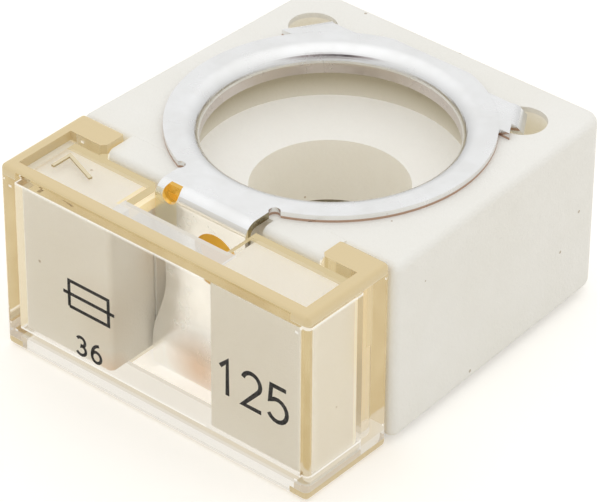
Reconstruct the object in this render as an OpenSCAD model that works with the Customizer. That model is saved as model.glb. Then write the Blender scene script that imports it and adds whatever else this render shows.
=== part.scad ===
// Square block fuse for a stud: a ceramic block, a folded contact element and a clear front cover.
// The stud axis is Z, the origin is on it at half height, and the cover faces -Y. Millimetres.

/* [Stack] */
// Height between the two contact faces
contact_h = 11.4; // [10:0.1:14]
// Thickness of the contact sheet
sheet_t = 0.4; // [0.3:0.05:0.6]
// Clearance between pieces that slip together
fit_gap = 0.1; // [0.05:0.05:0.2]

/* [Stud bore] */
// Diameter of the bore that the stud passes through
bore_d = 8.5; // [6:0.1:10]
// Depth from the block's top face to the bore's upper rim
ledge_top_depth = 3.6; // [2.4:0.1:4.2]
// Depth from the block's bottom face to the bore's lower rim
ledge_bottom_depth = 3.2; // [2.4:0.1:4.2]
// Height by which each ledge rises from the bore to the counterbore's wall
ledge_rise = 0.9; // [0.3:0.1:1.2]

/* [Ceramic block] */
// Width of the block beside the cover
block_w = 21; // [20.6:0.1:24]
// Distance by which each side of the block has come in at its rear face
block_taper = 0.6; // [0:0.05:1]
// Distance from the contact ring's round edge to the rear face
rear_margin = 1.6; // [1:0.1:3]
// Distance from the counterbores' wall to the shoulders behind the cover
shoulder_wall = 0.25; // [0.1:0.05:1]
// Radius of the rear upright corners
corner_r = 1; // [0.6:0.1:2]
// Radius of the block's moulded edges
edge_r = 0.45; // [0.2:0.05:0.55]
// Thickness of the web between the channel and the counterbore
web_t = 1.05; // [0.7:0.05:1.5]
// Diameter of the hole near each rear corner
ear_hole_d = 2.66; // [2.3:0.02:3]
// Distance from the block's narrow rear to the line of each rear hole
ear_hole_side = 2.85; // [2.4:0.05:3.2]
// Distance from the rear face to the rear holes
ear_hole_inset = 3.3; // [2.6:0.1:3.6]
// Radius of the legs' upright edges
leg_edge_r = 0.3; // [0.1:0.05:0.5]

/* [Clear cover] */
// Distance by which each side of the cover stands in from the block's side
cover_side_step = 0.3; // [0.2:0.05:0.8]
// Distance from each contact face to the cover's rim
rim_drop = 0.1; // [0:0.05:0.3]
// Depth of the cover from front to back
cover_depth = 6.2; // [5.6:0.1:8]
// Thickness of the cover's walls
cover_wall = 0.7; // [0.5:0.05:1]
// Thickness of the plate at the top and bottom of the cover
plate_t = 0.5; // [0.3:0.05:0.8]
// Depth of each plate below the cover's rim
plate_recess = 0.55; // [0.2:0.05:0.8]
// Radius of the cover's outer edges
cover_edge_r = 0.3; // [0.1:0.05:0.5]
// Thickness of the rib behind each leg
rib_t = 1.7; // [1.2:0.1:2]
// Distance by which each rib reaches in from the cover's wall
rib_w = 2.3; // [1.2:0.1:2.8]
// Chamfer at the tip of each rib
rib_chamfer = 0.25; // [0.1:0.05:0.4]
// Gap between the plates' rear edges and the block's step
plate_gap = 0.25; // [0.1:0.05:0.5]
// Gap between the cover's front wall and the legs
leg_gap = 0.25; // [0.1:0.05:0.6]

/* [Contact element] */
// Distance from the contact rings to the block's widest sides
ring_margin = 1.9; // [1.2:0.1:2.4]
// Width of each ring's flat contact face
ring_flat = 0.95; // [0.6:0.05:1.6]
// Height of each flange, from the contact face to its free edge
flange_h = 1.4; // [1.2:0.1:2]
// Inside radius of the roll between ring and flange
roll_r = 0.5; // [0.3:0.05:0.6]
// Distance from the ring's straight rear edge to the block's rear face
ring_setback = 2; // [1.6:0.1:3]
// Width of the tongue
tongue_w = 6; // [5:0.1:6.6]
// Inside radius of the bends at the front
bend_r = 0.4; // [0.2:0.05:0.8]
// Gap between the ceramic web and the link
link_gap = 1.4; // [0.9:0.05:2]
// Radius of the relief cuts where the tongue meets the ring
relief_r = 0.3; // [0.2:0.05:0.5]
// Gap on each side of the tongue in the ceramic channel
channel_gap = 0.3; // [0.15:0.05:0.5]
// Mean gap beside the tongue in the plates' notches
notch_gap = 0.35; // [0.3:0.05:0.5]
// Distance of the notches' middle to the left of the stud axis
notch_offset = 0.25; // [0:0.05:0.25]
// Gap in front of the link in the plates' notches
notch_front_gap = 1.45; // [0.5:0.05:1.8]
// Direction in which each ear points, in degrees from the X axis
ear_angle = 32; // [28:1:36]
// Width of each ear's tip, which is bent down into its hole
ear_w = 1.9; // [1.4:0.1:2.1]
// Distance from the hole's edge to the bend, on both sides of the tip
ear_gap = 0.25; // [0.1:0.05:0.3]
// Inside radius of the ears' bends
ear_bend_r = 0.3; // [0.1:0.05:0.4]
// Angle by which the tips are bent down, in degrees
ear_bend = 50; // [30:1:70]
// Length of the straight end of each tip
ear_tip = 0.5; // [0.2:0.05:0.7]
// Angle between each ear's direction and the end of its front edge at the ring, in degrees
ear_front_root = 6; // [0:1:12]
// Angle between each ear's direction and the end of its rear edge at the ring, in degrees
ear_rear_root = 32; // [26:1:36]
// Width of the flat shoulder beside each tip
ear_shoulder_w = 0.95; // [0.4:0.05:1.1]
// Distance by which the shoulder reaches past the bend
ear_shoulder_reach = 0.2; // [0.1:0.05:0.4]

/* [Fuse link] */
// Width of the link at its narrowest
neck_w = 4; // [2.4:0.1:4.6]
// Length of the narrowest stretch
neck_len = 1.2; // [0.4:0.1:2]
// Height of the middle of the narrowest stretch above half height
neck_z = 1; // [-1:0.1:1.2]
// Height over which the link widens above its neck
upper_flare = 1.1; // [0.6:0.1:1.6]
// Height over which the link widens below its neck
lower_flare = 4.2; // [1.6:0.1:4.2]
// Diameter of the small hole at the upper bend
small_hole_d = 1; // [0.6:0.1:1.2]
// Distance of the small hole to the left of the stud axis
small_hole_x = 2.05; // [1.4:0.05:2.2]
// Distance from the contact face down to the small hole's centre
small_hole_drop = 0.35; // [0.3:0.01:0.4]
// Diameter of the large hole in the link
large_hole_d = 2.8; // [1:0.1:2.8]
// Distance of the large hole to the right of the stud axis
large_hole_x = 1.05; // [0:0.05:1.1]
// Distance from the contact face down to the large hole's centre
large_hole_drop = 2.8; // [2.6:0.05:2.9]

/* [Hidden] */
$fn = 96;

// Reach of a cut past the face that it opens, and of one solid into the next
over = 2.5 * sheet_t;

// Heights above and below half height, the same on both sides
contact_z = contact_h / 2;
block_z = contact_z - sheet_t;
rim_z = contact_z - rim_drop;
plate_z = rim_z - plate_recess;
ceiling_z = plate_z - plate_t;
leg_z = ceiling_z - fit_gap / 2;

// Radii about the stud axis
ring_r = block_w / 2 - ring_margin;
roll_outer_r = roll_r + sheet_t;
flange_r = ring_r - ring_flat - roll_outer_r;
counterbore_r = flange_r + sheet_t + fit_gap;
mouth_r = roll_r + fit_gap;

// Places along Y, as distances in front of the stud axis, but for the rear face
block_rear = ring_r + rear_margin;
shoulder = counterbore_r + shoulder_wall;
cover_back = shoulder + fit_gap;
cover_front = cover_back + cover_depth;
rib_front = cover_back + rib_t;
leg_back = rib_front + fit_gap;
step_front = leg_back - plate_gap;
leg_front = cover_front - cover_wall - leg_gap;
channel_back = counterbore_r + web_t;
link_back = channel_back + link_gap;
link_front = link_back + sheet_t;
bend_outer_r = bend_r + sheet_t;
bend_y = link_front - bend_outer_r;
bend_z = contact_z - bend_outer_r;
notch_front = link_front + notch_front_gap;

// Widths across X
block_rear_w = block_w - 2 * block_taper;
cover_w = block_w - 2 * cover_side_step;
cavity_w = cover_w - 2 * cover_wall;
leg_span = cavity_w - 2 * fit_gap;
rib_span = cavity_w - 2 * rib_w;
waist_w = rib_span - 2 * fit_gap;
channel_w = tongue_w + 2 * channel_gap;
notch_w = tongue_w + 2 * notch_gap;
leg_w = (leg_span - channel_w) / 2;

// Rear holes: their place, also along and across the direction in which the ears point
ear_hole_x = block_rear_w / 2 - ear_hole_side;
ear_hole_y = block_rear - ear_hole_inset;
ear_hole_along = ear_hole_x * cos(ear_angle) + ear_hole_y * sin(ear_angle);
ear_hole_across = ear_hole_y * cos(ear_angle) - ear_hole_x * sin(ear_angle);
ear_turn = ear_hole_along - sqrt(pow(ear_hole_d / 2, 2) - pow(ear_w / 2, 2)) + ear_gap;

// Points of an arc from one angle to another about a centre
function arc(centre, r, from, to, steps = 12) =
    [for (i = [0:steps]) centre + r * [cos(from + (to - from) * i / steps), sin(from + (to - from) * i / steps)]];

// An upright post whose rims are rounded
module post(r, h, edge) {
    rim = arc([r - edge, h / 2 - edge], edge, 0, 90, 6);
    foot = arc([r - edge, edge - h / 2], edge, -90, 0, 6);
    rotate_extrude($fn = 48)
        polygon(concat([[0, -h / 2]], foot, rim, [[0, h / 2]]));
}

// A bar across X whose section is given in Y and Z
module bar_x(w) {
    rotate([90, 0, 90])
        translate([0, 0, -w / 2])
            linear_extrude(w)
                children();
}

// The same thing above and below half height
module both_faces() {
    children();
    mirror([0, 0, 1])
        children();
}

// The same thing on the left and right of the stud axis
module both_sides() {
    children();
    mirror([1, 0, 0])
        children();
}

// Main part of the block, slightly narrower at the rear, with rounded edges
module block_core() {
    hull()
        both_sides() {
            translate([block_w / 2 - edge_r, edge_r - shoulder, 0])
                post(edge_r, 2 * block_z, edge_r);
            translate([block_rear_w / 2 - corner_r, block_rear - corner_r, 0])
                post(corner_r, 2 * block_z, edge_r);
        }
}

// Waist between the ribs, whose upper and lower front edges are rounded where the plates end
module block_waist() {
    far = -counterbore_r;
    corner = arc([edge_r - step_front, block_z - edge_r], edge_r, 90, 180, 8);
    bar_x(waist_w)
        polygon(concat(
            [[far, block_z]],
            corner,
            [for (i = [len(corner) - 1:-1:0]) [corner[i][0], -corner[i][1]]],
            [[far, -block_z]]
        ));
}

// One leg, which stands in the cover and is joined to the waist behind it
module leg() {
    r = leg_edge_r;
    depth = leg_front - leg_back;
    outer = leg_span / 2;
    translate([outer - leg_w, -leg_back, -leg_z])
        cube([waist_w / 2 - outer + leg_w, leg_back - step_front + over, 2 * leg_z]);
    translate([outer - leg_w / 2, -(leg_front + leg_back) / 2, 0]) {
        cube([leg_w - 2 * r, depth, 2 * leg_z], center = true);
        cube([leg_w, depth - 2 * r, 2 * leg_z], center = true);
        for (x = [-1, 1], y = [-1, 1])
            translate([x * (leg_w / 2 - r), y * (depth / 2 - r), 0])
                cylinder(r = r, h = 2 * leg_z, center = true);
    }
}

// Bore, ledges and counterbores as one turned space
module stud_space() {
    bore_r = bore_d / 2;
    top_rim = block_z - ledge_top_depth;
    bottom_rim = ledge_bottom_depth - block_z;
    rotate_extrude($fn = 128)
        polygon(concat(
            [[0, -block_z - over], [counterbore_r + mouth_r, -block_z - over]],
            arc([counterbore_r + mouth_r, mouth_r - block_z], mouth_r, -90, -180, 6),
            [[counterbore_r, bottom_rim - ledge_rise], [bore_r, bottom_rim]],
            [[bore_r, top_rim], [counterbore_r, top_rim + ledge_rise]],
            arc([counterbore_r + mouth_r, block_z - mouth_r], mouth_r, 180, 90, 6),
            [[counterbore_r + mouth_r, block_z + over], [0, block_z + over]]
        ));
}

// Channel in which the link stands, open at the front, top and bottom
module link_channel() {
    translate([-channel_w / 2, -leg_front - over, -block_z - over])
        cube([channel_w, leg_front + over - channel_back, 2 * (block_z + over)]);
}

module ceramic_body() {
    color("#efede6")
        difference() {
            union() {
                block_core();
                block_waist();
                both_sides()
                    leg();
            }
            stud_space();
            link_channel();
            both_sides()
                translate([ear_hole_x, ear_hole_y, 0])
                    cylinder(d = ear_hole_d, h = 2 * (block_z + over), center = true);
        }
}

// Ring with its inner edge rolled down into the counterbore
module ring_and_flange() {
    roll_centre = [flange_r + roll_outer_r, contact_z - roll_outer_r];
    rotate_extrude($fn = 128)
        polygon(concat(
            [[ring_r, block_z], [ring_r, contact_z]],
            arc(roll_centre, roll_outer_r, 90, 180),
            [[flange_r, contact_z - flange_h], [flange_r + sheet_t, contact_z - flange_h]],
            arc(roll_centre, roll_r, 180, 90)
        ));
}

// Ear at one rear corner, along X before it is turned: its flat part, the bend and the tip
module ear() {
    front = ear_hole_across - ear_w / 2;
    rear = ear_hole_across + ear_w / 2;
    shoulder_end = ear_turn + ear_shoulder_reach;
    root_r = ring_r - sheet_t;
    rotate([0, 0, ear_angle]) {
        translate([0, 0, block_z])
            linear_extrude(sheet_t)
                polygon([
                    root_r * [cos(ear_front_root), sin(ear_front_root)],
                    [shoulder_end, front - ear_shoulder_w],
                    [shoulder_end, front],
                    [ear_turn, front],
                    [ear_turn, rear],
                    root_r * [cos(ear_rear_root), sin(ear_rear_root)]
                ]);
        translate([ear_turn, rear, block_z - ear_bend_r])
            rotate([90, ear_bend - 90, 0]) {
                rotate_extrude(angle = ear_bend, $fn = 48)
                    translate([ear_bend_r, 0])
                        square([sheet_t, ear_w]);
                translate([ear_bend_r, -ear_tip, 0])
                    cube([sheet_t, ear_tip, ear_w]);
            }
    }
}

// Tongue from the ring to the bend, and the bend itself
module tongue_and_bend() {
    translate([-tongue_w / 2, -bend_y, block_z])
        cube([tongue_w, bend_y - flange_r - roll_outer_r, sheet_t]);
    translate([tongue_w / 2, -bend_y, bend_z])
        rotate([90, 0, -90])
            rotate_extrude(angle = 90, $fn = 64)
                translate([bend_r, 0])
                    square([sheet_t, tongue_w]);
}

// Half width of the link at a height: the neck, with an eased flare above and below it
function ease(t) = (1 - cos(180 * t)) / 2;
function flare(t) = neck_w / 2 + (tongue_w - neck_w) / 2 * ease(t);

// Outline of the link, front view, from its lower bend to its upper bend
module link_outline() {
    steps = 10;
    neck_top = neck_z + neck_len / 2;
    neck_bottom = neck_z - neck_len / 2;
    lower = [for (i = [0:steps]) [flare(1 - i / steps), neck_bottom - lower_flare * (1 - i / steps)]];
    upper = [for (i = [0:steps]) [flare(i / steps), neck_top + upper_flare * i / steps]];
    right = concat([[tongue_w / 2, -bend_z]], lower, upper, [[tongue_w / 2, bend_z]]);
    polygon(concat(right, [for (i = [len(right) - 1:-1:0]) [-right[i][0], right[i][1]]]));
}

// Upright link in front of the web
module link() {
    translate([0, -link_back, 0])
        rotate([90, 0, 0])
            linear_extrude(sheet_t)
                link_outline();
}

// Two round holes stamped in the sheet: one that starts at the upper bend, one lower in the link.
// The small one's cut ends just behind the sheet, so that it doesn't reach the ring.
module link_holes() {
    small_depth = sheet_t + bend_r / 5;
    translate([-small_hole_x, small_depth - link_front, contact_z - small_hole_drop])
        rotate([90, 0, 0])
            cylinder(d = small_hole_d, h = small_depth + over);
    translate([large_hole_x, over - link_back, contact_z - large_hole_drop])
        rotate([90, 0, 0])
            cylinder(d = large_hole_d, h = sheet_t + 2 * over);
}

module fuse_element() {
    color("#e2e4e4")
        difference() {
            union() {
                both_faces() {
                    ring_and_flange();
                    both_sides()
                        ear();
                    tongue_and_bend();
                }
                link();
            }
            translate([-ring_r, block_rear - ring_setback, -contact_z - over])
                cube([2 * ring_r, ring_r, 2 * (contact_z + over)]);
            both_sides()
                translate([tongue_w / 2 + relief_r / 2, -sqrt(ring_r * ring_r - pow(tongue_w / 2, 2)), 0])
                    cylinder(r = relief_r, h = 2 * (contact_z + over), center = true);
            link_holes();
        }
}

// Outer form of the cover before it is hollowed, with all its edges rounded
module cover_block() {
    hull()
        both_sides()
            for (y = [cover_back + cover_edge_r, cover_front - cover_edge_r])
                translate([cover_w / 2 - cover_edge_r, -y, 0])
                    post(cover_edge_r, 2 * rim_z, cover_edge_r);
}

// A straight cut through the cover, from one depth to another and one height to another
module cover_cut(w, front, back, low, high) {
    translate([-w / 2, -front, low])
        cube([w, front - back, high - low]);
}

// Plan of the opening between the ribs, wider at both ends by the ribs' chamfers
module rib_gap_plan() {
    half = rib_span / 2;
    polygon([
        [-half - rib_chamfer, -rib_front],
        [half + rib_chamfer, -rib_front],
        [half, rib_chamfer - rib_front],
        [half, -cover_back - rib_chamfer],
        [half + rib_chamfer, -cover_back],
        [half + rib_chamfer, over - cover_back],
        [-half - rib_chamfer, over - cover_back],
        [-half - rib_chamfer, -cover_back],
        [-half, -cover_back - rib_chamfer],
        [-half, rib_chamfer - rib_front]
    ]);
}

module window_cover() {
    cavity_front = cover_front - cover_wall;
    outside = rim_z + over;
    color("#ead6a8", 0.5)
        difference() {
            cover_block();
            cover_cut(cavity_w, cavity_front, rib_front, -ceiling_z, ceiling_z);
            both_faces()
                cover_cut(cavity_w, cavity_front, rib_front, plate_z, outside);
            cover_cut(cavity_w, leg_back, rib_front, -outside, outside);
            translate([-notch_offset, 0, 0])
                cover_cut(notch_w, notch_front, rib_front, -outside, outside);
            translate([0, 0, -outside])
                linear_extrude(2 * outside)
                    rib_gap_plan();
        }
}

ceramic_body();
fuse_element();
window_cover();
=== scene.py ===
import math

import bpy
import numpy as np
from mathutils import Matrix, Vector


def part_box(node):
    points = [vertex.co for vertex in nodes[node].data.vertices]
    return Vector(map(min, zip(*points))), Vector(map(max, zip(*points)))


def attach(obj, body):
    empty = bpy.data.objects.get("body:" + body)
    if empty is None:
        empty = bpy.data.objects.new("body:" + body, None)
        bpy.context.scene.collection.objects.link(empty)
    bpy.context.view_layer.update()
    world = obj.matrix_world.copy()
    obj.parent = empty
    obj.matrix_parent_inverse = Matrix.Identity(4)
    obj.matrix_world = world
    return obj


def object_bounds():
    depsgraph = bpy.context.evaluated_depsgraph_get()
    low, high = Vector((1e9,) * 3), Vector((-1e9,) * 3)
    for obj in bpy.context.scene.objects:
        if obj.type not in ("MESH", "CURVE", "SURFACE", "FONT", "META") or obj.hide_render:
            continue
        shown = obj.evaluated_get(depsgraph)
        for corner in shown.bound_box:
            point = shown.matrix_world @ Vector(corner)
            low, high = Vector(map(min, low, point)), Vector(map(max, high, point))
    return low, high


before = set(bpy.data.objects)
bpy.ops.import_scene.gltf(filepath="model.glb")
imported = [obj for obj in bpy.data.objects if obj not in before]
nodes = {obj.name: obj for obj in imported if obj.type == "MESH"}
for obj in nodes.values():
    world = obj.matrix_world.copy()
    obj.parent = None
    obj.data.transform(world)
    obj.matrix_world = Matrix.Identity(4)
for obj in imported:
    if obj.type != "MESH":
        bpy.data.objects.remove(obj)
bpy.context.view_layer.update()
MM = 0.001


# Ceramic block: pressed and fired off-white ceramic, matt, with a very fine grain and faint clouding.
# One solid holds the stud bore, the counterbores, the rear holes and the two legs inside the cover.
# Flux from the soldered element has left an amber stain in the channel behind the link.
def add(tree, kind, **values):
    """Adds a shader node and sets its named inputs."""
    node = tree.nodes.new(kind)
    for name, value in values.items():
        node.inputs[name.replace("_", " ")].default_value = value
    return node


def new_material(name):
    """A new material with a Principled shader; returns the material, its node tree and the shader."""
    material = bpy.data.materials.new(name)
    material.use_nodes = True
    tree = material.node_tree
    return material, tree, tree.nodes["Principled BSDF"]


def clouding_group():
    """A group that puts out soft noise, stretched between two values, at a scale per metre."""
    group = bpy.data.node_groups.new("clouding", "ShaderNodeTree")
    group.interface.new_socket("Scale", in_out="INPUT", socket_type="NodeSocketFloat")
    group.interface.new_socket("Low", in_out="INPUT", socket_type="NodeSocketFloat")
    group.interface.new_socket("High", in_out="INPUT", socket_type="NodeSocketFloat")
    group.interface.new_socket("Value", in_out="OUTPUT", socket_type="NodeSocketFloat")
    source = group.nodes.new("NodeGroupInput")
    sink = group.nodes.new("NodeGroupOutput")
    place = group.nodes.new("ShaderNodeTexCoord")
    noise = add(group, "ShaderNodeTexNoise", Detail=3.0, Roughness=0.6)
    spread = add(group, "ShaderNodeMapRange", From_Min=0.32, From_Max=0.68)
    group.links.new(place.outputs["Object"], noise.inputs["Vector"])
    group.links.new(source.outputs["Scale"], noise.inputs["Scale"])
    group.links.new(noise.outputs["Fac"], spread.inputs["Value"])
    group.links.new(source.outputs["Low"], spread.inputs["To Min"])
    group.links.new(source.outputs["High"], spread.inputs["To Max"])
    group.links.new(spread.outputs["Result"], sink.inputs["Value"])
    return group


def clouds(tree, scale, low=0.0, high=1.0):
    """Places the clouding group in a material and returns its value."""
    node = tree.nodes.new("ShaderNodeGroup")
    node.node_tree = clouding
    node.inputs["Scale"].default_value = scale
    node.inputs["Low"].default_value = low
    node.inputs["High"].default_value = high
    return node.outputs["Value"]


def blend(tree, mask, low_color, high_color):
    """Mixes two colours, or links that carry them, by a mask and returns the result."""
    mix = tree.nodes.new("ShaderNodeMix")
    mix.data_type = "RGBA"
    tree.links.new(mask, mix.inputs["Factor"])
    for name, color in (("A", low_color), ("B", high_color)):
        socket = [one for one in mix.inputs if one.name == name and one.type == "RGBA"][0]
        if isinstance(color, tuple):
            socket.default_value = (*color, 1)
        else:
            tree.links.new(color, socket)
    return [one for one in mix.outputs if one.type == "RGBA"][0]


def bump(tree, shader, height, distance, strength=1.0):
    """Feeds a height into the shader's normal; the distance is the relief's real depth."""
    relief = add(tree, "ShaderNodeBump", Distance=distance, Strength=strength)
    tree.links.new(height, relief.inputs["Height"])
    tree.links.new(relief.outputs["Normal"], shader.inputs["Normal"])


def combine(tree, operation, first, second=None):
    """One maths step on one or two linked values."""
    step = tree.nodes.new("ShaderNodeMath")
    step.operation = operation
    tree.links.new(first, step.inputs[0])
    if second is not None:
        tree.links.new(second, step.inputs[1])
    return step.outputs[0]


def scaled(tree, value, factor):
    """A value times a constant."""
    result = combine(tree, "MULTIPLY", value)
    result.node.inputs[1].default_value = factor
    return result


def over(tree, value, threshold):
    """1 where the value is over the threshold and 0 elsewhere."""
    result = combine(tree, "GREATER_THAN", value)
    result.node.inputs[1].default_value = threshold
    return result


def under(tree, value, threshold):
    """1 where the value is under the threshold and 0 elsewhere."""
    result = combine(tree, "LESS_THAN", value)
    result.node.inputs[1].default_value = threshold
    return result


def between(tree, value, low, high):
    """1 where the value lies between two thresholds and 0 elsewhere."""
    return combine(tree, "MULTIPLY", over(tree, value, low), under(tree, value, high))


def all_of(tree, *masks):
    """The product of the masks: 1 where every one is 1."""
    result = masks[0]
    for mask in masks[1:]:
        result = combine(tree, "MULTIPLY", result, mask)
    return result


def any_of(tree, *masks):
    """The largest of the masks at each point."""
    result = masks[0]
    for mask in masks[1:]:
        result = combine(tree, "MAXIMUM", result, mask)
    return result


def place_and_facing(tree):
    """The X, Y and Z of the shaded point, of its outward direction, and its distance from the stud axis."""
    place = tree.nodes.new("ShaderNodeTexCoord")
    point = tree.nodes.new("ShaderNodeSeparateXYZ")
    facing = tree.nodes.new("ShaderNodeSeparateXYZ")
    flat_point = tree.nodes.new("ShaderNodeCombineXYZ")
    radius = tree.nodes.new("ShaderNodeVectorMath")
    radius.operation = "LENGTH"
    tree.links.new(place.outputs["Object"], point.inputs[0])
    tree.links.new(place.outputs["Normal"], facing.inputs[0])
    tree.links.new(point.outputs["X"], flat_point.inputs["X"])
    tree.links.new(point.outputs["Y"], flat_point.inputs["Y"])
    tree.links.new(flat_point.outputs[0], radius.inputs[0])
    return point.outputs, facing.outputs, radius.outputs["Value"]


def ball_mask(tree, centre, inner, outer):
    """A mask that is 1 within the inner radius of a point and falls to 0 at the outer radius."""
    place = tree.nodes.new("ShaderNodeTexCoord")
    far = tree.nodes.new("ShaderNodeVectorMath")
    far.operation = "DISTANCE"
    far.inputs[1].default_value = centre
    fade = add(tree, "ShaderNodeMapRange", From_Min=inner, From_Max=outer, To_Min=1.0, To_Max=0.0)
    tree.links.new(place.outputs["Object"], far.inputs[0])
    tree.links.new(far.outputs["Value"], fade.inputs["Value"])
    return fade.outputs["Result"]


def speck_mask(tree, cells, size):
    """1 on a few tiny dots: the points of a cell pattern that happen to lie close to the surface."""
    place = tree.nodes.new("ShaderNodeTexCoord")
    pattern = add(tree, "ShaderNodeTexVoronoi", Scale=cells)
    tree.links.new(place.outputs["Object"], pattern.inputs["Vector"])
    return under(tree, pattern.outputs["Distance"], size)


CERAMIC_PALE = (0.905, 0.890, 0.840)
CERAMIC_WARM = (0.880, 0.862, 0.800)
CERAMIC_CLOUDS = 160.0
CERAMIC_GRAIN = 6000.0
GRAIN_DEPTH = 0.012 * MM
MATT_CLOUDS = 900.0
MATT_ROUGHNESS = (0.50, 0.66)
STEEP = 0.5
LEVEL = 0.8
CERAMIC_SHADED = (0.50, 0.44, 0.31)
FLUX_AMBER = (0.80, 0.46, 0.06)
FLUX_LEFT = (-3.3 * MM, -8.5 * MM, 3.9 * MM)
FLUX_LEFT_REACH = (0.5 * MM, 1.2 * MM)
FLUX_RIGHT = (-0.4 * MM, -8.4 * MM, 2.2 * MM)
FLUX_RIGHT_REACH = (1.7 * MM, 2.4 * MM)
SPECK = (0.42, 0.33, 0.22)
SPECK_CELLS = 480.0
SPECK_SIZE = 0.045
SPECK_STRENGTH = 0.7
LEG_PATCH = (0.66, 0.55, 0.42)
LEG_PATCH_SPOT = (-3.6 * MM, -12.8 * MM, -1.4 * MM)
LEG_PATCH_REACH = (0.2 * MM, 3.0 * MM)
LEG_PATCH_STRENGTH = 0.35
TARNISH = (0.84, 0.56, 0.36)
TARNISH_SPOT = (-3.5 * MM, -12.8 * MM, -4.7 * MM)
TARNISH_REACH = (0.2 * MM, 1.4 * MM)
TARNISH_STRENGTH = 0.6
LIP_AMBER = (0.90, 0.75, 0.42)
LIP_FROM = 3.9 * MM
LIP_LEFT = -4.15 * MM
LIP_FRONT = -11.7 * MM
HOLLOW_TOP = 5.0 * MM
HOLLOW_SIDE = 9.3 * MM
HOLLOW_FRONT = -7.3 * MM
HOLLOW_REAR = 9.2 * MM
POCKET_RADIUS = 7.1 * MM
POCKET_WALL_REACH = 7.4 * MM
POCKET_SHADE_FROM = 1.6 * MM
POCKET_SHADE_FULL = 3.7 * MM
LEG_START = -9.3 * MM
LEG_FLANK = 9.2 * MM
NECK_START = -9.8 * MM
NECK_END = -7.55 * MM
NECK_SIDE = 7.0 * MM
WARM_GLOW = (1.0, 0.86, 0.58)
PALE_GLOW = (1.0, 0.96, 0.90)
HOLLOW_GLOW = 0.115
LEG_END_GLOW = 0.21
FLANK_GLOW = 0.09
NECK_GLOW = 0.25
FLUX_GLOW = 0.4
LIP_GLOW = 0.3

clouding = clouding_group()
ceramic, tree, shader = new_material("fired_ceramic")
shader.inputs["IOR"].default_value = 1.5
point, facing, radius = place_and_facing(tree)
height = combine(tree, "ABSOLUTE", point["Z"])
aside = combine(tree, "ABSOLUTE", point["X"])
levelness = combine(tree, "ABSOLUTE", facing["Z"])
upright = under(tree, levelness, STEEP)
clay = blend(tree, clouds(tree, CERAMIC_CLOUDS), CERAMIC_PALE, CERAMIC_WARM)
specks = scaled(tree, speck_mask(tree, SPECK_CELLS, SPECK_SIZE), SPECK_STRENGTH)
clay = blend(tree, specks, clay, SPECK)
# The flux shows through the link's two holes. It stays in front of the counterbores' walls.
flux_left = ball_mask(tree, FLUX_LEFT, *FLUX_LEFT_REACH)
flux_right = ball_mask(tree, FLUX_RIGHT, *FLUX_RIGHT_REACH)
flux = all_of(tree, any_of(tree, flux_left, flux_right), under(tree, point["Y"], NECK_END))
clay = blend(tree, flux, clay, FLUX_AMBER)
# Little light reaches the outer part of the counterbores' walls, behind the rolled rim of each ring.
hollow = all_of(
    tree,
    under(tree, height, HOLLOW_TOP),
    under(tree, aside, HOLLOW_SIDE),
    between(tree, point["Y"], HOLLOW_FRONT, HOLLOW_REAR),
)
depth = add(tree, "ShaderNodeMapRange", From_Min=POCKET_SHADE_FROM, From_Max=POCKET_SHADE_FULL)
tree.links.new(height, depth.inputs["Value"])
on_wall = between(tree, radius, POCKET_RADIUS, POCKET_WALL_REACH)
pocket_wall = all_of(tree, hollow, upright, on_wall, depth.outputs["Result"])
clay = blend(tree, pocket_wall, clay, CERAMIC_SHADED)
# A brownish patch darkens the front of the left leg, solder has left a tarnish spot below it, and painted
# amber light from the cover falls on its lip.
leg_patch = ball_mask(tree, LEG_PATCH_SPOT, *LEG_PATCH_REACH)
clay = blend(tree, scaled(tree, leg_patch, LEG_PATCH_STRENGTH), clay, LEG_PATCH)
tarnish = ball_mask(tree, TARNISH_SPOT, *TARNISH_REACH)
clay = blend(tree, scaled(tree, tarnish, TARNISH_STRENGTH), clay, TARNISH)
lip = all_of(
    tree,
    between(tree, point["Y"], LIP_FRONT, LEG_START),
    between(tree, point["X"], LIP_LEFT, 0.0),
    over(tree, point["Z"], LIP_FROM),
)
clay = blend(tree, lip, clay, LIP_AMBER)
tree.links.new(clay, shader.inputs["Base Color"])
# Painted light: an emission glow lifts the hollows, the legs' ends and flanks, the necks, the flux and the
# lip.
leg_end = all_of(tree, over(tree, levelness, LEVEL), under(tree, point["Y"], LEG_START))
flank = all_of(tree, upright, under(tree, point["Y"], LEG_START), over(tree, aside, LEG_FLANK))
neck = all_of(tree, upright, between(tree, point["Y"], NECK_START, NECK_END), over(tree, aside, NECK_SIDE))
glow = any_of(
    tree,
    scaled(tree, combine(tree, "SUBTRACT", hollow, pocket_wall), HOLLOW_GLOW),
    scaled(tree, leg_end, LEG_END_GLOW),
    scaled(tree, flank, FLANK_GLOW),
    scaled(tree, neck, NECK_GLOW),
    scaled(tree, flux, FLUX_GLOW),
    scaled(tree, lip, LIP_GLOW),
)
tree.links.new(glow, shader.inputs["Emission Strength"])
glow_color = blend(tree, flux, blend(tree, upright, PALE_GLOW, WARM_GLOW), FLUX_AMBER)
tree.links.new(glow_color, shader.inputs["Emission Color"])
tree.links.new(clouds(tree, MATT_CLOUDS, *MATT_ROUGHNESS), shader.inputs["Roughness"])
bump(tree, shader, clouds(tree, CERAMIC_GRAIN), GRAIN_DEPTH)
block = nodes["ceramic_body"]
block.data.materials.clear()
block.data.materials.append(ceramic)


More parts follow.
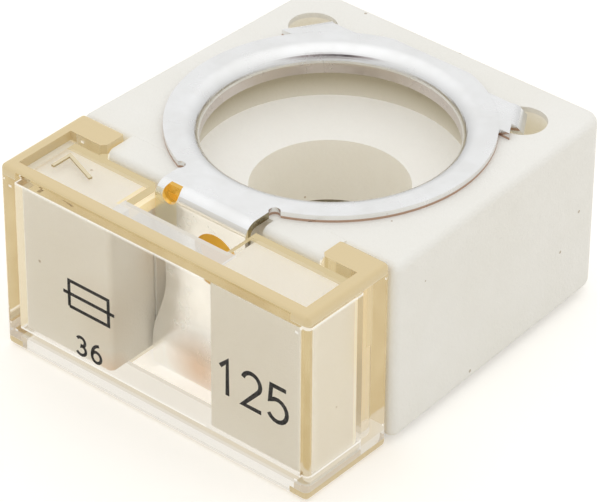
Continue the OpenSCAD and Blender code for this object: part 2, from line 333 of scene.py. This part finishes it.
# Contact element: one strip of copper sheet, stamped, bright tin plated, and folded round the block.
# The plating has fine scratches and a faint haze; the stamped edges show bare copper.
TIN_BRIGHT = (0.91, 0.915, 0.915)
TIN_HAZE = (0.85, 0.85, 0.84)
HAZE_CLOUDS = 500.0
TIN_CLOUDS = 700.0
TIN_ROUGHNESS = (0.16, 0.30)
FLANGE_SHADE = (0.64, 0.59, 0.56)
FLANGE_TOP = 4.9 * MM
FLANGE_OUTSIDE = 7.0 * MM
BARE_COPPER = (0.55, 0.38, 0.29)
EDGE_STEEP = 0.35
SHEET_UNDERSIDE = 5.28 * MM
PLATING_DRAWN_TO = 5.44 * MM
RING_EDGE_RADIUS = 8.2 * MM
SOLDER_TARNISH = (0.70, 0.52, 0.39)
SOLDER_SPOT = (0.2 * MM, -10.1 * MM, -4.1 * MM)
SOLDER_REACH = (0.3 * MM, 2.4 * MM)
HOLE_AMBER = (0.42, 0.26, 0.08)
HOLE_GLOW = 0.42
HOLE_MIDDLE = (-2.05 * MM, 0, 5.35 * MM)
HOLE_RADIUS = 0.51 * MM
HOLE_RIM = 5.69 * MM
OLIVE_SHADE = (0.34, 0.30, 0.20)
SIDEWAYS = 0.6
LINK_SHADE = (0.78, 0.76, 0.71)
LEG_REFLECTION = (0.80, 0.74, 0.56)
REFLECTION_STRENGTH = 0.8
SHADE_END = 3.3 * MM
REFLECTION_EDGE = -1.55 * MM
LINK_FACE = -9.9 * MM
SCRATCH_TURN = math.radians(34)
SCRATCH_STRETCH = (120.0, 9000.0, 2000.0)
SCRATCH_DEPTH = 0.004 * MM
SCRATCH_STRENGTH = 0.6


def cut_edge_mask(tree):
    """1 on the lower part of the upright rims of ring and ears, where the shears tore the plating."""
    point, facing, radius = place_and_facing(tree)
    height = combine(tree, "ABSOLUTE", point["Z"])
    return all_of(
        tree,
        under(tree, combine(tree, "ABSOLUTE", facing["Z"]), EDGE_STEEP),
        between(tree, height, SHEET_UNDERSIDE, PLATING_DRAWN_TO),
        over(tree, radius, RING_EDGE_RADIUS),
        over(tree, point["Y"], -RING_EDGE_RADIUS),
    )


def flange_shade_mask(tree):
    """1 on the inner wall of the rolled flanges, below the bead, which is painted darker as a shade that
    stands for the dark hollow it reflects.
    """
    point, facing, radius = place_and_facing(tree)
    return all_of(
        tree,
        under(tree, combine(tree, "ABSOLUTE", point["Z"]), FLANGE_TOP),
        under(tree, radius, FLANGE_OUTSIDE),
        over(tree, point["Y"], -FLANGE_OUTSIDE),
    )


def small_hole_mask(tree):
    """1 inside the small hole at the bend: near its axis, which runs from front to rear, below the top."""
    point, facing, radius = place_and_facing(tree)
    flat_point = tree.nodes.new("ShaderNodeCombineXYZ")
    tree.links.new(point["X"], flat_point.inputs["X"])
    tree.links.new(point["Z"], flat_point.inputs["Z"])
    far = tree.nodes.new("ShaderNodeVectorMath")
    far.operation = "DISTANCE"
    far.inputs[1].default_value = HOLE_MIDDLE
    tree.links.new(flat_point.outputs[0], far.inputs[0])
    return all_of(
        tree,
        under(tree, far.outputs["Value"], HOLE_RADIUS),
        under(tree, point["Z"], HOLE_RIM),
        under(tree, point["Y"], -RING_EDGE_RADIUS),
    )


def scratch_height(tree):
    """Fine scratches: noise stretched a hundredfold along one direction that is turned in the plane."""
    place = tree.nodes.new("ShaderNodeTexCoord")
    turn = tree.nodes.new("ShaderNodeMapping")
    turn.inputs["Rotation"].default_value = (0, 0, SCRATCH_TURN)
    turn.inputs["Scale"].default_value = SCRATCH_STRETCH
    noise = add(tree, "ShaderNodeTexNoise", Scale=1.0, Detail=2.0, Roughness=0.7)
    tree.links.new(place.outputs["Object"], turn.inputs["Vector"])
    tree.links.new(turn.outputs[0], noise.inputs["Vector"])
    return noise.outputs["Fac"]


tin, tree, shader = new_material("tinned_copper")
shader.inputs["Metallic"].default_value = 1.0
shader.inputs["Emission Color"].default_value = (*FLUX_AMBER, 1)
point, facing, radius = place_and_facing(tree)
plating = blend(tree, clouds(tree, HAZE_CLOUDS), TIN_BRIGHT, TIN_HAZE)
# Painted shade: the flanges' inner walls are darkened where they reflect the dark hollow.
plating = blend(tree, flange_shade_mask(tree), plating, FLANGE_SHADE)
plating = blend(tree, ball_mask(tree, SOLDER_SPOT, *SOLDER_REACH), plating, SOLDER_TARNISH)
# Flux fills the small hole and a painted glow lights it amber; the tongue's right side is painted with the
# deep shade of the gap beside it.
in_hole = small_hole_mask(tree)
plating = blend(tree, in_hole, plating, HOLE_AMBER)
tree.links.new(scaled(tree, in_hole, HOLE_GLOW), shader.inputs["Emission Strength"])
right_side = all_of(
    tree,
    over(tree, facing["X"], SIDEWAYS),
    over(tree, point["X"], 0.0),
    under(tree, point["Y"], -RING_EDGE_RADIUS),
    over(tree, point["Z"], SHADE_END),
)
plating = blend(tree, right_side, plating, OLIVE_SHADE)
# Painted shade darkens the upper part of the link, and a painted reflection of the left leg's shaded inner
# wall tints its left.
link_head = all_of(tree, under(tree, point["Y"], LINK_FACE), over(tree, point["Z"], SHADE_END))
reflecting_left = all_of(tree, link_head, under(tree, point["X"], REFLECTION_EDGE))
plating = blend(tree, link_head, plating, LINK_SHADE)
plating = blend(tree, scaled(tree, reflecting_left, REFLECTION_STRENGTH), plating, LEG_REFLECTION)
tree.links.new(blend(tree, cut_edge_mask(tree), plating, BARE_COPPER), shader.inputs["Base Color"])
tree.links.new(clouds(tree, TIN_CLOUDS, *TIN_ROUGHNESS), shader.inputs["Roughness"])
bump(tree, shader, scratch_height(tree), SCRATCH_DEPTH, SCRATCH_STRENGTH)
element = nodes["fuse_element"]
element.data.materials.clear()
element.data.materials.append(tin)


# Clear cover: one moulding in a transparent plastic with a faint amber tint, polished all over.
# Light passes its thin walls almost untinted, and turns amber along them, so its edges look amber.
AMBER_TINT = (0.93, 0.70, 0.20)
AMBER_DENSITY = 80.0
PLASTIC_IOR = 1.49
POLISH_CLOUDS = 600.0
POLISH_ROUGHNESS = (0.0, 0.05)
SHADOW_TINT = (0.99, 0.98, 0.95)
PIPED_DARK = (0.55, 0.42, 0.20)
PIPED_LIGHT = (0.68, 0.56, 0.32)
PIPED_STREAKS = 260.0
RIM_AMBER = (0.75, 0.60, 0.34)
PLATE_CREAM = (0.84, 0.79, 0.65)
LIT_AMBER = (0.69, 0.57, 0.34)
LINE_WHITE = (1.0, 0.98, 0.93)
PAINTED_WHITE = (0.79, 0.77, 0.73)
EDGE_ROUGHNESS = 0.12
LINE_STRENGTH = 0.7
RIB_STRENGTH = 0.85
SIDE_WALL_STRENGTH = 0.75
NOTCH_STRENGTH = 0.8
BASE_STRENGTH = 0.4
STRIP_STRENGTH = 0.75
SQUARE_ON = 0.9
FACING_UP = 0.5
PLATE_TOP = 5.05 * MM
HAIR = 0.01 * MM
LINE_HALF = 0.05 * MM
LINE_WIDE = 0.2 * MM
LINE_HIGH = 0.12 * MM
CEILING = 4.55 * MM
CAVITY_SIDE = 9.4 * MM
CAVITY_FRONT = -13.1 * MM
CHANNEL_SIDE = 3.3 * MM
LEG_SIDE = 9.1 * MM
NOTCH_REACH = 4.2 * MM
NOTCH_SIDE = 3.7 * MM
NOTCH_FRONT = -11.5 * MM
RIB_FRONT = -9.8 * MM
RIB_LOW = -5.1 * MM
BASE_TOP = -4.5 * MM


def mix_shaders(tree, mask, first, second):
    """Shows the second shader where the mask is 1 and the first elsewhere."""
    mix = tree.nodes.new("ShaderNodeMixShader")
    tree.links.new(mask, mix.inputs["Fac"])
    tree.links.new(first.outputs[0], mix.inputs[1])
    tree.links.new(second.outputs[0], mix.inputs[2])
    return mix


def light(tree, color):
    """A shader that shines in one colour at the strength of plain white paper."""
    return add(tree, "ShaderNodeEmission", Color=(*color, 1), Strength=1.0)


def without(tree, mask, other):
    """1 where the mask is 1 and the other one is 0."""
    return combine(tree, "GREATER_THAN", mask, other)


def clear_plastic(name):
    """Clear plastic with a faint amber tint that lets shadows through; returns its material, tree and
    surface shader.

    Light that is piped along a wall bounces between its faces many times and comes out as an even amber,
    a little streaky. It is shown as that amber after its first bounce inside.
    """
    material, tree, shader = new_material(name)
    shader.inputs["Base Color"].default_value = (1, 1, 1, 1)
    shader.inputs["Transmission Weight"].default_value = 1.0
    shader.inputs["IOR"].default_value = PLASTIC_IOR
    tree.links.new(clouds(tree, POLISH_CLOUDS, *POLISH_ROUGHNESS), shader.inputs["Roughness"])
    ray = tree.nodes.new("ShaderNodeLightPath").outputs
    from_inside = tree.nodes.new("ShaderNodeNewGeometry").outputs["Backfacing"]
    bounced = combine(tree, "SUBTRACT", ray["Is Glossy Ray"], ray["Is Transmission Ray"])
    piped = add(tree, "ShaderNodeEmission", Strength=1.0)
    streaks = blend(tree, clouds(tree, PIPED_STREAKS), PIPED_DARK, PIPED_LIGHT)
    tree.links.new(streaks, piped.inputs["Color"])
    body = mix_shaders(tree, all_of(tree, bounced, from_inside), shader, piped)
    passing = add(tree, "ShaderNodeBsdfTransparent", Color=(*SHADOW_TINT, 1))
    surface = mix_shaders(tree, ray["Is Shadow Ray"], body, passing)
    absorption = add(tree, "ShaderNodeVolumeAbsorption", Color=(*AMBER_TINT, 1), Density=AMBER_DENSITY)
    tree.links.new(absorption.outputs[0], tree.nodes["Material Output"].inputs["Volume"])
    return material, tree, surface


clear_amber, tree, surface = clear_plastic("clear_amber")
point, facing, radius = place_and_facing(tree)
height = combine(tree, "ABSOLUTE", point["Z"])
aside = combine(tree, "ABSOLUTE", point["X"])
outward = combine(tree, "MULTIPLY", combine(tree, "SIGN", point["X"]), facing["X"])
inward = under(tree, outward, -SQUARE_ON)
ray = tree.nodes.new("ShaderNodeLightPath").outputs
from_inside = tree.nodes.new("ShaderNodeNewGeometry").outputs["Backfacing"]
# The effects by place leave shadows and scattered light alone.
in_view = under(tree, any_of(tree, ray["Is Shadow Ray"], ray["Is Diffuse Ray"]), 0.5)

# A thin line where the cavity's walls meet the plates catches the light.
line_front = all_of(
    tree,
    between(tree, point["Y"], CAVITY_FRONT - LINE_HALF, CAVITY_FRONT + LINE_HALF),
    under(tree, point["X"], CHANNEL_SIDE),
)
line_side = between(tree, aside, CAVITY_SIDE, CAVITY_SIDE + LINE_WIDE)
line_height = between(tree, height, CEILING - LINE_HIGH, CEILING + HAIR)
line = all_of(tree, any_of(tree, line_front, line_side), line_height)
line = scaled(tree, without(tree, line, ray["Is Shadow Ray"]), LINE_STRENGTH)
surface = mix_shaders(tree, line, surface, light(tree, LINE_WHITE))

# The ribs, the inner faces of the side walls and the notches' sides shine amber with piped light.
low_side = all_of(tree, under(tree, point["Z"], 0.0), over(tree, facing["Z"], -SQUARE_ON))
outer = any_of(tree, over(tree, outward, SQUARE_ON), under(tree, facing["Y"], -SQUARE_ON), low_side)
rib = all_of(tree, over(tree, point["Y"], RIB_FRONT), over(tree, point["Z"], RIB_LOW))
side_wall = all_of(
    tree,
    inward,
    over(tree, aside, CAVITY_SIDE),
    under(tree, height, CEILING),
    ray["Is Transmission Ray"],
)
notch_side = all_of(tree, inward, under(tree, aside, NOTCH_REACH), over(tree, height, CEILING))
lit = any_of(
    tree,
    scaled(tree, without(tree, rib, outer), RIB_STRENGTH),
    scaled(tree, without(tree, side_wall, from_inside), SIDE_WALL_STRENGTH),
    scaled(tree, notch_side, NOTCH_STRENGTH),
)
surface = mix_shaders(tree, all_of(tree, lit, in_view), surface, light(tree, LIT_AMBER))

# Painted light: white emission brightens the lowest part, where the shaded floor shows through, and a
# painted reflection lightens the strip of the plate in front of its notch.
before_notch = all_of(
    tree,
    between(tree, point["Y"], CAVITY_FRONT, NOTCH_FRONT),
    under(tree, aside, NOTCH_SIDE),
    over(tree, height, CEILING),
    over(tree, facing["Z"], FACING_UP),
    ray["Is Camera Ray"],
)
base = under(tree, point["Z"], BASE_TOP)
painted_white_light = any_of(tree, scaled(tree, base, BASE_STRENGTH), scaled(tree, before_notch, STRIP_STRENGTH))
surface = mix_shaders(tree, all_of(tree, painted_white_light, in_view), surface, light(tree, PAINTED_WHITE))

# The rims stand above the plates and are seen edge on, as amber; the plates' ends look cream.
above_plate = over(tree, height, PLATE_TOP + HAIR)
rim = all_of(tree, without(tree, above_plate, outer), ray["Is Camera Ray"])
plate_end = all_of(tree, over(tree, height, PLATE_TOP - HAIR), over(tree, aside, LEG_SIDE))
edge = add(tree, "ShaderNodeBsdfPrincipled", IOR=PLASTIC_IOR, Roughness=EDGE_ROUGHNESS)
edge_color = blend(tree, without(tree, plate_end, above_plate), RIM_AMBER, PLATE_CREAM)
tree.links.new(edge_color, edge.inputs["Base Color"])
surface = mix_shaders(tree, all_of(tree, any_of(tree, rim, plate_end), in_view), surface, edge)
tree.links.new(surface.outputs[0], tree.nodes["Material Output"].inputs["Surface"])
cover = nodes["window_cover"]
cover.data.materials.clear()
cover.data.materials.append(clear_amber)


# Ink on the window: thin black printing, a little broken up, on the cover's front. It shows a fuse's
# symbol, a plain number under it, and a larger plain number on the right.
INK_THICK = 0.03 * MM
INK_PROUD = 0.01 * MM
INK_BLACK = (0.012, 0.012, 0.012)
INK_THIN = (0.07, 0.065, 0.06)
INK_SPECKLE = 7000.0
BOX_LEFT = -5.6 * MM
BOX_RIGHT = -2.9 * MM
BOX_LOW = -1.1 * MM
BOX_HIGH = 0.5 * MM
BOX_STROKE = 0.2 * MM
LEAD = 0.4 * MM
window_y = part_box("window_cover")[0][1]


def arc(centre, radii, start, end, steps=14):
    """Points on an ellipse's arc: the centre plus each radius times the cosine and sine of even angles."""
    angle = np.radians(np.linspace(start, end, steps))
    return np.column_stack([centre[0] + radii[0] * np.cos(angle), centre[1] + radii[1] * np.sin(angle)])


def digit(name):
    """A digit's strokes in a cell one unit high and 0.6 wide, as runs of points."""
    return {
        "1": [np.array([(0.14, 0.78), (0.36, 1.0), (0.36, 0.0)])],
        "2": [np.vstack([arc((0.3, 0.72), (0.27, 0.28), 165, -30), [(0.03, 0.0), (0.6, 0.0)]])],
        "3": [
            np.vstack([arc((0.28, 0.75), (0.26, 0.25), 150, -80), arc((0.28, 0.27), (0.3, 0.27), 80, -150)]),
        ],
        "5": [
            np.vstack([[(0.55, 1.0), (0.1, 1.0), (0.06, 0.56)], arc((0.28, 0.32), (0.3, 0.32), 125, -150)]),
        ],
        "6": [
            np.vstack([arc((0.52, 0.36), (0.5, 0.64), 95, 180), arc((0.3, 0.3), (0.28, 0.3), 180, 540, 22)]),
        ],
        "7": [np.array([(0.02, 1.0), (0.6, 1.0), (0.22, 0.0)])],
    }[name]


def number(text, corner, height, spacing, width):
    """The strokes of a number: each digit's cell scaled to the height and set beside the last one."""
    strokes = []
    for place, name in enumerate(text):
        offset = np.array([corner[0] + place * spacing, corner[1]])
        strokes += [(offset + points * height, width) for points in digit(name)]
    return strokes


def ribbon(points, width):
    """A flat stroke along points: each point moved half a width to both sides, square to the mean of the
    directions before and after it, and lengthened there so that corners keep their width."""
    step = np.diff(points, axis=0)
    step /= np.linalg.norm(step, axis=1)[:, None]
    before = np.vstack([step[:1], step])
    after = np.vstack([step, step[-1:]])
    mean = before + after
    mean /= np.linalg.norm(mean, axis=1)[:, None]
    square = np.column_stack([-mean[:, 1], mean[:, 0]])
    reach = width / 2 / np.maximum((mean * after).sum(axis=1), 0.5)
    return points + square * reach[:, None], points - square * reach[:, None]


def stroke_mesh(strokes, to_place, thickness):
    """Closed thin bars: a ribbon's two sides, repeated one thickness further in, joined by quads."""
    verts, faces = [], []
    for points, width in strokes:
        left, right = ribbon(points, width)
        near = [to_place(left, 0), to_place(right, 0)]
        far = [to_place(right, thickness), to_place(left, thickness)]
        rows = np.stack(near + far)
        count = len(points)
        first = sum(len(part) for part in verts)
        verts.append(rows.transpose(1, 0, 2).reshape(-1, 3))
        start = first + 4 * np.arange(count - 1)[:, None]
        for a, b in ((0, 1), (1, 2), (2, 3), (3, 0)):
            faces += np.column_stack([start + a, start + b, start + 4 + b, start + 4 + a]).tolist()
        last = first + 4 * (count - 1)
        faces += [[first + 3, first + 2, first + 1, first], [last, last + 1, last + 2, last + 3]]
    return np.vstack(verts), faces


def place_piece(name, verts, faces, material):
    """Makes a mesh object of a new piece that rides on the body."""
    mesh = bpy.data.meshes.new(name)
    mesh.from_pydata(verts.tolist(), [], faces)
    mesh.materials.append(material)
    mesh.validate()
    piece = bpy.data.objects.new(name, mesh)
    bpy.context.scene.collection.objects.link(piece)
    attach(piece, "root")
    return piece


def on_window(points, depth):
    """Puts points of the print's plane, X and Z, on the window's front face."""
    return np.column_stack([points[:, 0], np.full(len(points), window_y - INK_PROUD + depth), points[:, 1]])


box_corners = [(BOX_LEFT, BOX_LOW), (BOX_RIGHT, BOX_LOW), (BOX_RIGHT, BOX_HIGH), (BOX_LEFT, BOX_HIGH)]
box_middle = (BOX_LOW + BOX_HIGH) / 2
lead_ends = [(BOX_LEFT - LEAD, box_middle), (BOX_RIGHT + LEAD, box_middle)]
symbol = [(np.array(box_corners + box_corners[:1]), BOX_STROKE), (np.array(lead_ends), BOX_STROKE)]
small_number = number("36", (-5.2 * MM, -3.85 * MM), height=1.1 * MM, spacing=1.05 * MM, width=0.18 * MM)
large_number = number("125", (4.3 * MM, -1.5 * MM), height=2.1 * MM, spacing=1.7 * MM, width=0.25 * MM)

ink, tree, shader = new_material("black_ink")
tree.links.new(blend(tree, clouds(tree, INK_SPECKLE), INK_BLACK, INK_THIN), shader.inputs["Base Color"])
shader.inputs["Roughness"].default_value = 0.7
shader.inputs["Specular IOR Level"].default_value = 0.15
verts, faces = stroke_mesh(symbol + small_number + large_number, on_window, INK_THICK)
window_print = place_piece("window_print", verts, faces, ink)
window_print.visible_glossy = False
window_print.visible_transmission = False


# Moulded digit: a plain number that stands slightly proud of the left end of the recessed top plate,
# in the same plastic as the cover. Its sides look darker than its top.
DIGIT_TOP = (0.76, 0.66, 0.44)
DIGIT_CLOUDS = 3000.0
DIGIT_ROUGHNESS = (0.1, 0.3)
DIGIT_HIGH = 2.2 * MM
DIGIT_STROKE = 0.2 * MM
DIGIT_PROUD = 0.09 * MM
DIGIT_SUNK = 0.01 * MM
DIGIT_FOOT = -6.3 * MM
DIGIT_START = -11.75 * MM
PLATE_RECESS = 0.55 * MM
plate_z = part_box("window_cover")[1][2] - PLATE_RECESS


def on_plate(points, depth):
    """Lays the digit on the plate, its head to the left, its points at its top or the depth below it."""
    top = np.full(len(points), plate_z + DIGIT_PROUD)
    return np.column_stack([DIGIT_FOOT - points[:, 1], DIGIT_START + points[:, 0], top - depth])


moulded, tree, shader = new_material("moulded_edge")
point, facing, radius = place_and_facing(tree)
digit_color = blend(tree, over(tree, facing["Z"], FACING_UP), PIPED_DARK, DIGIT_TOP)
tree.links.new(digit_color, shader.inputs["Base Color"])
tree.links.new(clouds(tree, DIGIT_CLOUDS, *DIGIT_ROUGHNESS), shader.inputs["Roughness"])
strokes = number("7", (0, 0), height=DIGIT_HIGH, spacing=DIGIT_HIGH, width=DIGIT_STROKE)
verts, faces = stroke_mesh(strokes, on_plate, DIGIT_PROUD + DIGIT_SUNK)
place_piece("moulded_digit", verts, faces, moulded)


# Studio floor: white paper that keeps the fuse's faint shadow. It is lifted for the camera alone, so
# that it joins the white background without an edge, and can be seen through from below.
FLOOR_HALF = 1.5
PAPER_WHITE = (0.85, 0.825, 0.77)
CAMERA_LIFT = 0.32
COVER_LIFT = 0.5
floor_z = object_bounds()[0][2]
floor_mesh = bpy.data.meshes.new("floor")
corners = np.array([[-1, -1], [1, -1], [1, 1], [-1, 1]]) * FLOOR_HALF
floor_mesh.from_pydata([(x, y, floor_z) for x, y in corners], [], [(0, 1, 2, 3)])
studio_floor = bpy.data.objects.new("studio_floor", floor_mesh)
bpy.context.scene.collection.objects.link(studio_floor)
paper, tree, shader = new_material("white_paper")
shader.inputs["Base Color"].default_value = (*PAPER_WHITE, 1)
shader.inputs["Roughness"].default_value = 0.9
shader.inputs["Emission Color"].default_value = (1, 1, 1, 1)
ray = tree.nodes.new("ShaderNodeLightPath").outputs
for_camera = scaled(tree, ray["Is Camera Ray"], CAMERA_LIFT)
through_cover = scaled(tree, any_of(tree, ray["Is Transmission Ray"], ray["Is Glossy Ray"]), COVER_LIFT)
tree.links.new(any_of(tree, for_camera, through_cover), shader.inputs["Emission Strength"])
from_below = tree.nodes.new("ShaderNodeNewGeometry").outputs["Backfacing"]
tree.links.new(under(tree, from_below, 0.5), shader.inputs["Alpha"])
floor_mesh.materials.append(paper)


# Surroundings: a soft white tent, brighter overhead. It has an opening round the camera, which the
# polished metal shows as a dark patch and nothing else sees.
AZIMUTH = math.radians(40.2656)
ELEVATION = math.radians(35.1482)
OPENING_ELEVATION = math.radians(33)
OPENING_WIDE = 0.78
OPENING_HIGH = 0.34
OPENING_STOPS = (
    (0.30, (0.05, 0.045, 0.05)),
    (0.50, (0.28, 0.20, 0.19)),
    (0.75, (0.62, 0.60, 0.59)),
    (1.00, (1.0, 1.0, 1.0)),
)
MOTTLE_SCALE = 5.0
MOTTLE_STRENGTH = 0.5
HORIZON_LIGHT = 0.66
ZENITH_LIGHT = 1.13
world = bpy.data.worlds.new("white_tent")
bpy.context.scene.world = world
world.use_nodes = True
tree = world.node_tree
backdrop = tree.nodes["Background"]
toward = tree.nodes.new("ShaderNodeTexCoord").outputs["Generated"]
across = Vector((math.cos(AZIMUTH), math.sin(AZIMUTH), 0))
opening = Vector((
    math.sin(AZIMUTH) * math.cos(OPENING_ELEVATION),
    -math.cos(AZIMUTH) * math.cos(OPENING_ELEVATION),
    math.sin(OPENING_ELEVATION),
))


def along(axis):
    """How far the looked-at direction lies along an axis."""
    dot = tree.nodes.new("ShaderNodeVectorMath")
    dot.operation = "DOT_PRODUCT"
    dot.inputs[1].default_value = axis
    tree.links.new(toward, dot.inputs[0])
    return dot.outputs["Value"]


def share(axis, reach):
    """How far the looked-at direction lies along an axis, as a share of the opening's reach, squared."""
    part = along(axis / reach)
    return combine(tree, "MULTIPLY", part, part)


far_out = combine(tree, "ADD", share(across, OPENING_WIDE), share(across.cross(opening), OPENING_HIGH))
mottle = add(tree, "ShaderNodeTexNoise", Scale=MOTTLE_SCALE, Detail=2.0)
tree.links.new(toward, mottle.inputs["Vector"])
far_out = combine(tree, "ADD", far_out, scaled(tree, mottle.outputs["Fac"], MOTTLE_STRENGTH))
far_out = combine(tree, "ADD", far_out, under(tree, along(opening), 0.0))
tent = tree.nodes.new("ShaderNodeValToRGB")
stops = tent.color_ramp.elements
stops[0].position = OPENING_STOPS[0][0]
stops[1].position = OPENING_STOPS[-1][0]
for position, color in OPENING_STOPS[1:-1]:
    stops.new(position)
for stop, (position, color) in zip(stops, OPENING_STOPS):
    stop.color = (*color, 1)
tree.links.new(far_out, tent.inputs["Fac"])
ray = tree.nodes.new("ShaderNodeLightPath").outputs
mirrored = combine(tree, "SUBTRACT", ray["Is Glossy Ray"], ray["Is Transmission Ray"])
tree.links.new(blend(tree, mirrored, (1.0, 1.0, 1.0), tent.outputs["Color"]), backdrop.inputs["Color"])
direction = tree.nodes.new("ShaderNodeSeparateXYZ")
brightness = add(tree, "ShaderNodeMapRange", To_Min=HORIZON_LIGHT, To_Max=ZENITH_LIGHT)
tree.links.new(toward, direction.inputs[0])
tree.links.new(direction.outputs["Z"], brightness.inputs["Value"])
tree.links.new(brightness.outputs["Result"], backdrop.inputs["Strength"])


# Camera: a long lens to the front right of the fuse and above it. Its place was solved from the
# block's straight edges.
ROLL = math.radians(0.3819)
TARGET = Vector((0.2973, -2.7278, -0.8785)) * MM
DISTANCE = 196.736 * MM
SENSOR_WIDTH = 36
FOCAL_LENGTH = 228.534
view = Vector((
    -math.sin(AZIMUTH) * math.cos(ELEVATION),
    math.cos(AZIMUTH) * math.cos(ELEVATION),
    -math.sin(ELEVATION),
))
up = across.cross(view)
turned_right = math.cos(ROLL) * across + math.sin(ROLL) * up
turned_up = math.cos(ROLL) * up - math.sin(ROLL) * across
lens = bpy.data.cameras.new("camera")
lens.sensor_fit = "HORIZONTAL"
lens.sensor_width = SENSOR_WIDTH
lens.lens = FOCAL_LENGTH
lens.clip_start = 10 * MM
camera = bpy.data.objects.new("camera", lens)
bpy.context.scene.collection.objects.link(camera)
axes = Matrix((turned_right, turned_up, -view)).transposed()
camera.matrix_world = Matrix.Translation(TARGET - DISTANCE * view) @ axes.to_4x4()
bpy.context.scene.camera = camera
bpy.context.scene.view_settings.view_transform = "Standard"
